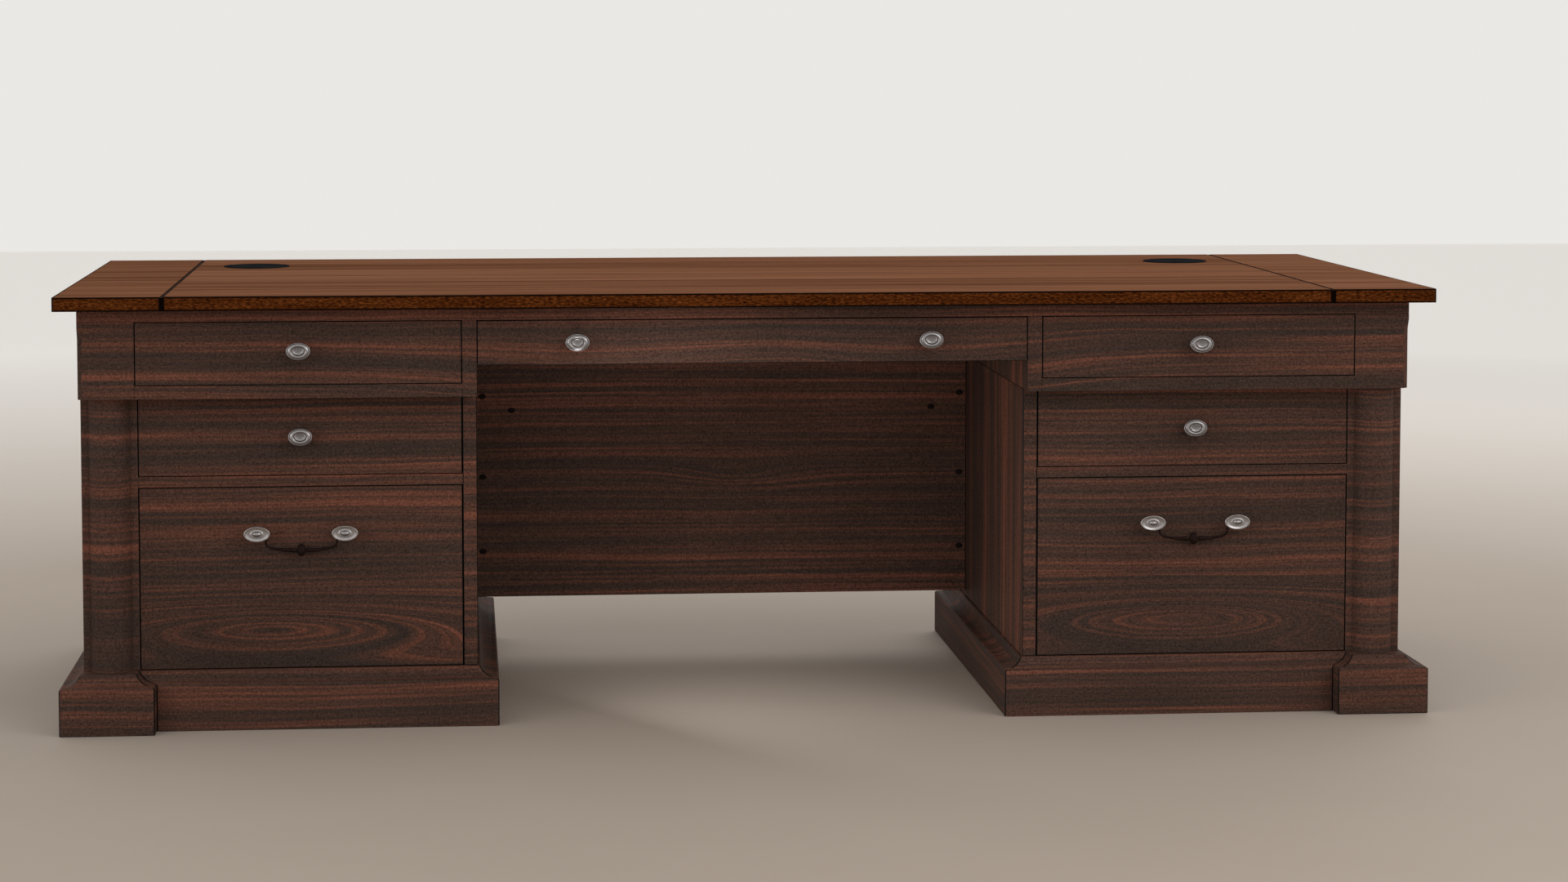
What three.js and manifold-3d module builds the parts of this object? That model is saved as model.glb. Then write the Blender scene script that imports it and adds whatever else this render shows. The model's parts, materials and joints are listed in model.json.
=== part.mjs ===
// A double-pedestal executive desk in millimetres: a wide top on an upper case that holds three shallow
// drawers, and two pedestals set back under it, each with a box drawer, a file drawer, a half-round corner
// column and a coved plinth. +Z is up, the user sits at -Y, and the origin is on the floor under the middle.
import * as THREE from 'three';
import { mergeVertices } from 'three/addons/utils/BufferGeometryUtils.js';
import Module from 'manifold-3d';

const wasm = await Module();
wasm.setup();

// ---- driving dimensions -------------------------------------------------------------------------------
const WIDTH = 2413;
const DEPTH = 1043;
const HEIGHT = 762;
const TOP_THICKNESS = 24.5;
const TOUCH = 0.3; // gap left between pieces that meet
const DRAWER_GAP = 1.5; // reveal round an inset drawer front

const SIDE_OVERHANG = 36.5; // top past the case at each end
const FRONT_OVERHANG = 46; // top past the upper case, front and back
const PEDESTAL_RECESS = 48; // upper case past the pedestals, front and back
const KNEE_HALF = 484.5; // half the kneehole's width
const UPPER_CASE_Z = 581.5; // underside of the upper case
const FRONT_THICKNESS = 20; // drawer fronts, rails and posts
const INNER_SIDE = 25; // thickness of the panels beside the kneehole
const OUTER_SIDE = 18;
const BACK_THICKNESS = 18;
const COLUMN_ZONE = 97; // width of the corner column and of the post above it

const INLAY_X = 1021; // middle of the dark strip between the boards and the end panel
const INLAY_WIDTH = 5.4;
const BOARD_WIDTH = 178; // the boards are laid from the front edge, and the last one is narrower
const SEAM_WIDTH = 1.8;
const SEAM_DEPTH = 1.2;

const GROMMET_X = 905;
const GROMMET_Y = 299;
const GROMMET_FLANGE_R = 63;
const GROMMET_HOLE_R = 55;
const GROMMET_RISE = 2.2; // flange above the top
const CAP_R = 52.6;
const CAP_THICKNESS = 3;
const NOTCH_WIDTH = 27;
const NOTCH_DEPTH = 29;

const TOP_RAIL = 22.3; // height of the rail over the upper drawers
const UPPER_FLOOR = 23; // height of the rail under them
const CENTER_DRAWER_Z = 636.7; // underside of the centre drawer's front
const DIVIDER_Z = 422.6; // rail between the box drawer and the file drawer
const DIVIDER = 18.4;
const FLOOR_END = 190; // the drawers' floors stop here and leave a cable bay behind them
const GUIDE = [12, 22]; // width and height of the strip that guides a drawer box on its outer side
const LEDGE = [22, 8]; // the centre drawer's runners

const PLINTH_TOP = 101.2;
const COVE_DROP = 23; // from the plinth's crown down to its upright face
const PLINTH_OUT = 36.5; // plinth past the pedestal
const PLINTH_WALL = 22;
const BLOCK_OUT = 73; // corner block past the pedestal, at the front
const BLOCK_INNER_X = 1042.6;
const BLOCK_DEPTH = 165;
const COLUMN_R = 37;
const COLUMN_RISE = 28;
const POST_CHAMFER = 9;
const POST_CHAMFER_TOP = 705;

const MODESTY_Y = 275;
const MODESTY_Z = 112;

const BOX_WALL = 12;
const BOX_BOTTOM = 8;
const BOX_PLAY = 2; // clearance beside a drawer box
const PULL_SPACING = 152.5;
const BAIL_DROP = 30.5;
const BEAD_FLATTEN = 0.7; // the bail's middle bead is this much thinner than it is tall
const PIVOT_OUT = 11; // bail pivot in front of the drawer face

// ---- worked-out dimensions ----------------------------------------------------------------------------
const TOP_Z = HEIGHT - TOP_THICKNESS;
const CASE_HALF = WIDTH / 2 - SIDE_OVERHANG;
const UPPER_Y = DEPTH / 2 - FRONT_OVERHANG;
const LOWER_Y = UPPER_Y - PEDESTAL_RECESS;
const BLOCK_BACK = -LOWER_Y - BLOCK_OUT + BLOCK_DEPTH;
const RAIL_Z = TOP_Z - TOP_RAIL;
const DRAWER_X0 = KNEE_HALF + INNER_SIDE;
const DRAWER_X1 = CASE_HALF - COLUMN_ZONE;
const DRAWER_MID = (DRAWER_X0 + DRAWER_X1) / 2;
const PEDESTAL_TOP = UPPER_CASE_Z - TOUCH;
const PEDESTAL_FOOT = PLINTH_TOP + TOUCH;

// Each drawer: the height span of its front's opening, its box's lowest and highest edge, the box's depth
// and the height of its handle. A pedestal's boxes run on the floor under them, the centre one on ledges.
const DRAWERS = {
  top: {
    face: -UPPER_Y, front: [UPPER_CASE_Z + UPPER_FLOOR, RAIL_Z],
    box: [UPPER_CASE_Z + UPPER_FLOOR + TOUCH, 695], depth: 580, handle: 665,
  },
  middle: {
    face: -LOWER_Y, front: [DIVIDER_Z + DIVIDER, UPPER_CASE_Z],
    box: [DIVIDER_Z + DIVIDER + TOUCH, 555], depth: 560, handle: 511,
  },
  file: {
    face: -LOWER_Y, front: [PEDESTAL_FOOT, DIVIDER_Z],
    box: [PLINTH_TOP + TOUCH, 366], depth: 560, handle: 342,
  },
};
const CENTER = {
  face: -UPPER_Y, front: [CENTER_DRAWER_Z, RAIL_Z], box: [646, 701], depth: 420, handle: 676.5,
};
const CENTER_KNOB_X = 310;

// ---- finishes -----------------------------------------------------------------------------------------
const finish = (color, roughness, metalness = 0) =>
  new THREE.MeshStandardMaterial({ color, roughness, metalness });
const TOP_WOOD = finish(0x80523a, 0.45);
const DARK_WOOD = finish(0x3c2822, 0.5);
const INLAY = finish(0x241a17, 0.5);
const BOX_WOOD = finish(0x8d6f50, 0.6);
const NICKEL = finish(0x9c9896, 0.3, 1);
const BRONZE = finish(0x33211a, 0.45, 1);
const BLACK_PLASTIC = finish(0x1d2023, 0.5);

// ---- small helpers ------------------------------------------------------------------------------------
const desk = new THREE.Group();

function place(group, name, geometry, material) {
  const mesh = new THREE.Mesh(geometry, material);
  mesh.name = name;
  group.add(mesh);
  return mesh;
}

function box([x0, x1], [y0, y1], [z0, z1]) {
  return new THREE.BoxGeometry(x1 - x0, y1 - y0, z1 - z0)
    .translate((x0 + x1) / 2, (y0 + y1) / 2, (z0 + z1) / 2);
}

// A prism of an outline drawn in the plane across `axis`, in the order yz, zx or xy, from a to b along it.
function prism(axis, outline, a, b) {
  const shape = outline instanceof THREE.Shape
    ? outline : new THREE.Shape(outline.map((p) => new THREE.Vector2(...p)));
  const settings = { depth: b - a, bevelEnabled: false, curveSegments: 24 };
  const geometry = new THREE.ExtrudeGeometry(shape, settings).translate(0, 0, a);
  const [x, y, z] = [new THREE.Vector3(1, 0, 0), new THREE.Vector3(0, 1, 0), new THREE.Vector3(0, 0, 1)];
  const basis = { x: [y, z, x], y: [z, x, y], z: [x, y, z] }[axis];
  return geometry.applyMatrix4(new THREE.Matrix4().makeBasis(...basis));
}

function solid(geometry) {
  const bare = geometry.clone();
  bare.deleteAttribute('normal');
  bare.deleteAttribute('uv');
  const merged = mergeVertices(bare, 1e-3);
  return new wasm.Manifold(new wasm.Mesh({
    numProp: 3,
    vertProperties: new Float32Array(merged.attributes.position.array),
    triVerts: new Uint32Array(merged.index.array),
  }));
}

function geometryOf(manifold) {
  const mesh = manifold.getMesh();
  const geometry = new THREE.BufferGeometry();
  geometry.setAttribute('position', new THREE.BufferAttribute(new Float32Array(mesh.vertProperties), 3));
  geometry.setIndex(new THREE.BufferAttribute(new Uint32Array(mesh.triVerts), 1));
  geometry.computeVertexNormals();
  return geometry;
}

const cut = (geometry, ...tools) =>
  geometryOf(tools.reduce((body, tool) => body.subtract(solid(tool)), solid(geometry)));
const join = (geometry, ...more) =>
  geometryOf(more.reduce((body, piece) => body.add(solid(piece)), solid(geometry)));

// A closed stack of rectangles, one per level: {x: [x0, x1], y: [y0, y1], z}, from the lowest up.
function rectangleLoft(levels) {
  const position = levels.flatMap(({ x, y, z }) =>
    [[x[0], y[0], z], [x[1], y[0], z], [x[1], y[1], z], [x[0], y[1], z]].flat());
  const index = [0, 2, 1, 0, 3, 2];
  for (let level = 0; level < levels.length - 1; level++) {
    for (let corner = 0; corner < 4; corner++) {
      const a = level * 4 + corner;
      const b = level * 4 + ((corner + 1) % 4);
      index.push(a, b, b + 4, a, b + 4, a + 4);
    }
  }
  const top = (levels.length - 1) * 4;
  index.push(top, top + 1, top + 2, top, top + 2, top + 3);
  const geometry = new THREE.BufferGeometry();
  geometry.setAttribute('position', new THREE.Float32BufferAttribute(position, 3));
  geometry.setIndex(index);
  geometry.computeVertexNormals();
  return geometry;
}

// The plinth's moulding as [mm out from the crown, mm below it], from the face up: a rounded foot, the
// hollow, and the soft shoulder that meets the crown.
const COVE_FOOT = [[PLINTH_OUT, COVE_DROP], [36.2, 21.2], [35.2, 19.9], [33.4, 19.1]];
const COVE_SHOULDER = [[5.5, 3.3], [4.9, 2], [4.1, 1.1], [2.9, 0.45], [0, 0]];
const HOLLOW_OUT = 4.8;
const HOLLOW_TOP = 1.2;
const HOLLOW_DROP = 17.8;
const hollowPoint = (degrees) => {
  const turn = THREE.MathUtils.degToRad(degrees);
  const out = PLINTH_OUT - (PLINTH_OUT - HOLLOW_OUT) * Math.cos(turn);
  return [out, HOLLOW_TOP + HOLLOW_DROP * Math.sin(turn) ** 1.25];
};
const COVE = [...COVE_FOOT, ...[80, 65, 50, 35, 20].map(hollowPoint), ...COVE_SHOULDER];

// An upright-faced block with the cove on top, from a `foot` rectangle in to a `crown` rectangle.
// `grow` makes it larger all round, for cutting the room that it stands in.
function covedBlock(foot, crown, grow = 0) {
  const span = (from, to, share) =>
    from.map((v, i) => THREE.MathUtils.lerp(to[i], v, share) + (i ? grow : -grow));
  const levels = COVE.map(([out, below]) => ({
    x: span(foot.x, crown.x, out / PLINTH_OUT),
    y: span(foot.y, crown.y, out / PLINTH_OUT),
    z: PLINTH_TOP - below + grow,
  }));
  return rectangleLoft([{ ...levels[0], z: -grow }, ...levels]);
}

// ---- top ----------------------------------------------------------------------------------------------
function topPanels() {
  const boards = new THREE.Shape();
  boards.moveTo(-DEPTH / 2, TOP_Z);
  boards.lineTo(DEPTH / 2, TOP_Z);
  boards.lineTo(DEPTH / 2, HEIGHT);
  for (let seam = Math.floor(DEPTH / BOARD_WIDTH); seam > 0; seam--) {
    const y = -DEPTH / 2 + BOARD_WIDTH * seam;
    boards.lineTo(y + SEAM_WIDTH / 2, HEIGHT);
    boards.lineTo(y, HEIGHT - SEAM_DEPTH);
    boards.lineTo(y - SEAM_WIDTH / 2, HEIGHT);
  }
  boards.lineTo(-DEPTH / 2, HEIGHT);
  const half = INLAY_X - INLAY_WIDTH / 2;
  const hole = (x) => new THREE.CylinderGeometry(GROMMET_HOLE_R, GROMMET_HOLE_R, 80, 40)
    .rotateX(Math.PI / 2).translate(x, GROMMET_Y, HEIGHT);
  place(desk, 'top_center_panel',
    cut(prism('x', boards, -half, half), hole(-GROMMET_X), hole(GROMMET_X)), TOP_WOOD);
}

function topEnd(side, group) {
  const strip = [INLAY_X - INLAY_WIDTH / 2 + TOUCH, INLAY_X + INLAY_WIDTH / 2 - TOUCH];
  const y = [-DEPTH / 2, DEPTH / 2];
  place(group, `top_end_${side}`, box([INLAY_X + INLAY_WIDTH / 2, WIDTH / 2], y, [TOP_Z, HEIGHT]), TOP_WOOD);
  place(group, `inlay_strip_${side}`, box(strip, [y[0] + 0.4, y[1] - 0.4], [TOP_Z, HEIGHT - 0.4]), INLAY);
}

function grommet(side, group) {
  const [tube, bore, seat] = [GROMMET_HOLE_R - TOUCH, 50, CAP_R + 0.4];
  const top = HEIGHT + GROMMET_RISE;
  const ledge = top - CAP_THICKNESS - TOUCH;
  const profile = [
    [bore, TOP_Z + 1], [tube, TOP_Z + 1], [tube, HEIGHT + TOUCH], [GROMMET_FLANGE_R, HEIGHT + TOUCH],
    [GROMMET_FLANGE_R - 1, top], [seat, top], [seat, ledge], [bore, ledge], [bore, TOP_Z + 1],
  ].map((p) => new THREE.Vector2(...p));
  const liner = new THREE.LatheGeometry(profile, 40).rotateX(Math.PI / 2).translate(GROMMET_X, GROMMET_Y, 0);
  place(group, `grommet_liner_${side}`, liner, BLACK_PLASTIC);

  const cap = new THREE.Shape();
  const half = Math.asin(NOTCH_WIDTH / 2 / CAP_R);
  const inner = CAP_R - NOTCH_DEPTH + NOTCH_WIDTH / 2;
  cap.absarc(0, 0, CAP_R, -Math.PI / 2 + half, 1.5 * Math.PI - half);
  cap.lineTo(-NOTCH_WIDTH / 2, -inner);
  cap.absarc(0, -inner, NOTCH_WIDTH / 2, Math.PI, 0, true);
  const disc = prism('z', cap, top - CAP_THICKNESS, top).translate(GROMMET_X, GROMMET_Y, 0);
  place(group, `grommet_cap_${side}`, disc, BLACK_PLASTIC);
}

// ---- upper case ---------------------------------------------------------------------------------------
function upperCaseShared() {
  const behind = -UPPER_Y + FRONT_THICKNESS;
  place(desk, 'front_top_rail',
    box([-CASE_HALF, CASE_HALF], [-UPPER_Y, behind], [RAIL_Z, TOP_Z - TOUCH]), DARK_WOOD);
  const apron = [
    [UPPER_CASE_Z, -CASE_HALF], [UPPER_CASE_Z, -KNEE_HALF], [CENTER_DRAWER_Z, -KNEE_HALF],
    [CENTER_DRAWER_Z, KNEE_HALF], [UPPER_CASE_Z, KNEE_HALF], [UPPER_CASE_Z, CASE_HALF],
    [TOP_Z - TOUCH, CASE_HALF], [TOP_Z - TOUCH, -CASE_HALF],
  ];
  place(desk, 'back_apron', prism('y', apron, UPPER_Y - FRONT_THICKNESS + TOUCH, UPPER_Y), DARK_WOOD);
  place(desk, 'modesty_panel', box([-KNEE_HALF + TOUCH, KNEE_HALF - TOUCH],
    [MODESTY_Y, MODESTY_Y + BACK_THICKNESS], [MODESTY_Z, TOP_Z - TOUCH]), DARK_WOOD);
}

function upperCase(side, group) {
  const behind = -UPPER_Y + FRONT_THICKNESS + TOUCH;
  const back = UPPER_Y - FRONT_THICKNESS;
  const underRail = RAIL_Z - TOUCH;
  const inner = [
    [-UPPER_Y, UPPER_CASE_Z], [back, UPPER_CASE_Z], [back, TOP_Z - TOUCH],
    [behind, TOP_Z - TOUCH], [behind, underRail], [-UPPER_Y, underRail],
  ];
  const ledge = box([KNEE_HALF - LEDGE[0], KNEE_HALF + 1], [behind, behind + CENTER.depth],
    [CENTER.box[0] - TOUCH - LEDGE[1], CENTER.box[0] - TOUCH]);
  place(group, `upper_side_inner_${side}`, join(prism('x', inner, KNEE_HALF, DRAWER_X0), ledge), DARK_WOOD);
  place(group, `upper_side_outer_${side}`,
    box([CASE_HALF - OUTER_SIDE, CASE_HALF], [behind, back], [UPPER_CASE_Z, TOP_Z - TOUCH]), DARK_WOOD);

  const post = box([DRAWER_X1, CASE_HALF], [-UPPER_Y, behind - TOUCH], [UPPER_CASE_Z, underRail]);
  place(group, `upper_corner_post_${side}`, geometryOf(solid(post).subtract(stoppedChamfer())), DARK_WOOD);

  place(group, `upper_floor_${side}`, drawerFloor(-UPPER_Y, UPPER_CASE_Z, UPPER_FLOOR), DARK_WOOD);
}

// The strip beside a drawer box, standing on whatever the box runs on.
function guideStrip(start, z) {
  return box([DRAWER_X1, DRAWER_X1 + GUIDE[0]], [start, FLOOR_END], [z - 1, z + GUIDE[1]]);
}

// A rail between two drawers, with the floor behind it and the guide strip on that.
function drawerFloor(face, z, height) {
  const behind = face + FRONT_THICKNESS + TOUCH;
  const side = CASE_HALF - OUTER_SIDE - TOUCH;
  const outline = [
    [DRAWER_X0 + TOUCH, face], [DRAWER_X1 - TOUCH, face], [DRAWER_X1 - TOUCH, behind],
    [side, behind], [side, FLOOR_END], [DRAWER_X0 + TOUCH, FLOOR_END],
  ];
  return join(prism('z', outline, z, z + height), guideStrip(behind, z + height));
}

// The chamfer on the post's outer corner, which dies out in a point short of the rail.
function stoppedChamfer() {
  const [x, y, reach] = [CASE_HALF, -UPPER_Y, POST_CHAMFER];
  const triangle = (z) => [[x + 1, y - 1, z], [x + 1, y + reach, z], [x - reach, y - 1, z]];
  return wasm.Manifold.hull([
    ...triangle(UPPER_CASE_Z - 1), ...triangle(POST_CHAMFER_TOP - 2 * reach), [x, y, POST_CHAMFER_TOP],
  ]);
}

// ---- pedestals ----------------------------------------------------------------------------------------
function pedestal(side, group) {
  const z = [PEDESTAL_FOOT, PEDESTAL_TOP];
  const back = LOWER_Y - BACK_THICKNESS;
  const behind = -LOWER_Y + FRONT_THICKNESS + TOUCH;
  place(group, `pedestal_side_inner_${side}`,
    box([KNEE_HALF, DRAWER_X0], [-LOWER_Y, back - TOUCH], z), DARK_WOOD);
  place(group, `pedestal_side_outer_${side}`,
    box([CASE_HALF - OUTER_SIDE, CASE_HALF], [behind, back - TOUCH], z), DARK_WOOD);
  place(group, `pedestal_back_${side}`, box([KNEE_HALF, CASE_HALF], [back, LOWER_Y], z), DARK_WOOD);

  place(group, `pedestal_divider_${side}`, drawerFloor(-LOWER_Y, DIVIDER_Z, DIVIDER), DARK_WOOD);

  // The column is a half-round on a flat ground.
  const middle = CASE_HALF - COLUMN_ZONE / 2;
  const sink = COLUMN_R - COLUMN_RISE;
  const angle = Math.asin(sink / COLUMN_R);
  const column = new THREE.Shape();
  column.moveTo(DRAWER_X1, behind - TOUCH);
  column.lineTo(DRAWER_X1, -LOWER_Y);
  column.absarc(middle, -LOWER_Y + sink, COLUMN_R, Math.PI + angle, 2 * Math.PI - angle);
  column.lineTo(CASE_HALF, -LOWER_Y);
  column.lineTo(CASE_HALF, behind - TOUCH);
  place(group, `column_${side}`, prism('z', column, ...z), DARK_WOOD);

  const crown = { x: [KNEE_HALF, CASE_HALF], y: [-LOWER_Y, LOWER_Y] };
  const foot = {
    x: [KNEE_HALF - PLINTH_OUT, CASE_HALF + PLINTH_OUT],
    y: [-LOWER_Y - PLINTH_OUT, LOWER_Y + PLINTH_OUT],
  };
  const hollow = box([foot.x[0] + PLINTH_WALL, foot.x[1] - PLINTH_WALL],
    [foot.y[0] + PLINTH_WALL, foot.y[1] - PLINTH_WALL], [-1, 74]);
  const block = {
    foot: { x: [BLOCK_INNER_X, foot.x[1]], y: [-LOWER_Y - BLOCK_OUT, BLOCK_BACK] },
    crown: {
      x: [BLOCK_INNER_X + PLINTH_OUT, CASE_HALF],
      y: [-LOWER_Y - BLOCK_OUT + PLINTH_OUT, BLOCK_BACK],
    },
  };
  const room = covedBlock(block.foot, block.crown, TOUCH);
  const frame = cut(covedBlock(foot, crown), hollow, room);
  const guide = guideStrip(BLOCK_BACK + 2 * TOUCH, PLINTH_TOP);
  place(group, `plinth_base_${side}`, join(frame, guide), DARK_WOOD);
  place(group, `plinth_block_${side}`, covedBlock(block.foot, block.crown), DARK_WOOD);
}

// ---- drawers ------------------------------------------------------------------------------------------
// An open tray behind a drawer front.
function drawerBox([x0, x1], drawer) {
  const y0 = drawer.face + FRONT_THICKNESS + TOUCH;
  const [y, z] = [[y0, y0 + drawer.depth], drawer.box];
  const inside = box([x0 + BOX_WALL, x1 - BOX_WALL], [y[0] + BOX_WALL, y[1] - BOX_WALL],
    [z[0] + BOX_BOTTOM, z[1] + 10]);
  return cut(box([x0, x1], y, z), inside);
}

function drawerFront([x0, x1], drawer, openBelow = false) {
  const z = [drawer.front[0] + (openBelow ? 0 : DRAWER_GAP), drawer.front[1] - DRAWER_GAP];
  return box([x0 + DRAWER_GAP, x1 - DRAWER_GAP], [drawer.face, drawer.face + FRONT_THICKNESS], z);
}

// A turned stem and cap as [radius, distance from the drawer face], squashed to an oval afterwards.
const KNOB = [
  [0, 0], [6.5, 0], [6.5, 1.5], [4.2, 4], [3.8, 11], [6, 15], [13.4, 17.5], [15, 19.5], [14.2, 22],
  [12.2, 22.6], [10.6, 24.2], [8.2, 24.6], [5, 24.2], [0, 25],
];
const ROSETTE = [
  [0, 0], [6.5, 0], [6.5, 1.5], [4.6, 3.5], [4.6, 20], [12.4, 22.8], [13.4, 24], [10.5, 26.3],
  [5, 27.4], [3, 29.4], [0, 30.2],
];
const KNOB_OVAL = 1.4; // width over height
const ROSETTE_OVAL = 1.72;
const STEM = [14, 19]; // the turning goes from round to oval between these

function turned(profile, oval) {
  const lathe = new THREE.LatheGeometry(profile.map((p) => new THREE.Vector2(...p)), 28);
  const p = lathe.attributes.position;
  for (let i = 0; i < p.count; i++) {
    p.setX(i, p.getX(i) * THREE.MathUtils.lerp(1, oval, THREE.MathUtils.smoothstep(p.getY(i), ...STEM)));
  }
  return lathe.rotateX(Math.PI); // the lathe's +Y axis now points to -Y, away from the drawer
}

function knob(group, name, x, drawer) {
  place(group, name, turned(KNOB, KNOB_OVAL).translate(x, drawer.face - TOUCH, drawer.handle), NICKEL);
}

function bailPull(side, group) {
  const { face, handle } = DRAWERS.file;
  const pivotY = face - TOUCH - PIVOT_OUT;
  const half = PULL_SPACING / 2;
  const bore = new THREE.CylinderGeometry(1.9, 1.9, 30, 12).rotateZ(Math.PI / 2);
  for (const [end, x] of [['inner', -half], ['outer', half]]) {
    const post = cut(turned(ROSETTE, ROSETTE_OVAL), bore.clone().translate(0, -PIVOT_OUT, 0));
    post.translate(DRAWER_MID + x, face - TOUCH, handle);
    place(group, `bail_post_${side}_${end}`, post, NICKEL);
  }

  // The wire runs from one post's bore, down, across under both posts, and up into the other.
  const arm = [
    [-3.5, 0], [8, 0], [13, -4], [14.8, -13], [17.3, -19.5], [24.3, -25.2], [33, -28.2], [52, -BAIL_DROP],
  ];
  const left = arm.map(([x, z]) => new THREE.Vector3(-half + x, 0, z));
  const right = arm.map(([x, z]) => new THREE.Vector3(half - x, 0, z)).reverse();
  const path = new THREE.CatmullRomCurve3([...left, ...right], false, 'centripetal');
  const section = new THREE.Shape().absarc(0, 0, 1.35, 0, 2 * Math.PI);
  const wire = new THREE.ExtrudeGeometry(section, { steps: 56, curveSegments: 8, extrudePath: path });
  const bead = [[0, -34], [1.5, -34], [3.4, -8], [3.6, -6.4], [6.4, -5.6], [10.2, -3.4], [11.3, 0],
    [10.2, 3.4], [6.4, 5.6], [3.6, 6.4], [3.4, 8], [1.5, 34], [0, 34]];
  const spindle = new THREE.LatheGeometry(bead.map((p) => new THREE.Vector2(...p)), 20)
    .rotateZ(-Math.PI / 2).scale(1, BEAD_FLATTEN, 1).translate(0, 0, -BAIL_DROP);
  place(group, `bail_handle_${side}`,
    join(wire, spindle).translate(DRAWER_MID, pivotY, handle), BRONZE);
}

function pedestalDrawers(side, group) {
  const opening = [DRAWER_X0, DRAWER_X1];
  const tray = [DRAWER_X0 + BOX_PLAY, DRAWER_X1 - BOX_PLAY];
  for (const [name, drawer] of Object.entries(DRAWERS)) {
    place(group, `${name}_drawer_front_${side}`, drawerFront(opening, drawer), DARK_WOOD);
    place(group, `${name}_drawer_box_${side}`, drawerBox(tray, drawer), BOX_WOOD);
  }
  knob(group, `top_drawer_knob_${side}`, DRAWER_MID, DRAWERS.top);
  knob(group, `middle_drawer_knob_${side}`, DRAWER_MID, DRAWERS.middle);
  knob(group, `center_drawer_knob_${side}`, CENTER_KNOB_X, CENTER);
  bailPull(side, group);
}

function centerDrawer() {
  place(desk, 'center_drawer_front', drawerFront([-KNEE_HALF, KNEE_HALF], CENTER, true), DARK_WOOD);
  const tray = [-KNEE_HALF + BOX_PLAY, KNEE_HALF - BOX_PLAY];
  place(desk, 'center_drawer_box', drawerBox(tray, CENTER), BOX_WOOD);
}

// ---- the desk: shared pieces, and each end built once on +X and mirrored to -X -------------------------
topPanels();
upperCaseShared();
centerDrawer();
for (const [side, mirror] of [['left', -1], ['right', 1]]) {
  const end = new THREE.Group();
  end.scale.x = mirror;
  desk.add(end);
  topEnd(side, end);
  grommet(side, end);
  upperCase(side, end);
  pedestal(side, end);
  pedestalDrawers(side, end);
}

export default desk;
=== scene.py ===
"""The looks of a two-pedestal executive desk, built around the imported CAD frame.

The CAD carcass stays and gets arrises and wood; knobs, posts, bails and grommets are finer meshes that
stand for their CAD nodes. Metres, +Z up, the user sits at -Y.
"""
import json
import math

import bmesh
import bpy
from mathutils import Matrix, Vector


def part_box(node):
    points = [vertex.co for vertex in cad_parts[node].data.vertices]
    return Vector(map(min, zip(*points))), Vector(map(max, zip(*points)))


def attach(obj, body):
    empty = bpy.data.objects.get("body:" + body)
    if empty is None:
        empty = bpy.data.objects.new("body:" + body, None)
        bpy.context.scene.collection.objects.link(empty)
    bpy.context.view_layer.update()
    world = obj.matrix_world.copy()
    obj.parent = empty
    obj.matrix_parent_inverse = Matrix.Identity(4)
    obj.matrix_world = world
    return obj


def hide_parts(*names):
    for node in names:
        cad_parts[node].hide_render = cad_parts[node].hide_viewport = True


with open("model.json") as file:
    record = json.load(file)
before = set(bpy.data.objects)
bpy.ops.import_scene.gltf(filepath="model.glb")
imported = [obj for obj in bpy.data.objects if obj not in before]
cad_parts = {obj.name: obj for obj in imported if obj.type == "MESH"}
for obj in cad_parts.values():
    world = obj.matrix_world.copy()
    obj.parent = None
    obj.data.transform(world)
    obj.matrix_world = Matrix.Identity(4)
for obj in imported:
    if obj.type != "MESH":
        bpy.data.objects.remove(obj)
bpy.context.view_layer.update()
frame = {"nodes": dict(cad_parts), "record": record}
NODES = frame["nodes"]
BODIES = frame["record"]["behaviour"]["bodies"]
BODY_OF = {node: body for body, members in BODIES.items() for node in members}
SIDES = (("left", -1), ("right", 1))


# ---- measures read from the frame ---------------------------------------------------------------------
def middle_of(node):
    low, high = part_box(node)
    return (low + high) / 2


TOP_LO, TOP_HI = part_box("top_center_panel")
TOP_Z = TOP_HI.z
FRONT_Y = TOP_LO.y
TOP_THICKNESS = TOP_Z - TOP_LO.z
TOP_END_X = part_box("top_end_right")[1].x
INLAY_X = middle_of("inlay_strip_right").x
DRAWER_X = middle_of("file_drawer_front_right").x
MODESTY_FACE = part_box("modesty_panel")[0].y

# ---- the top's pattern ---------------------------------------------------------------------------------
BOARD_WIDTH = 0.178
OUTLINE = 0.0034
INLAY_HALF = 0.005
BLACK_GLAZE = (0.007, 0.0035, 0.0022, 1)


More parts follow.
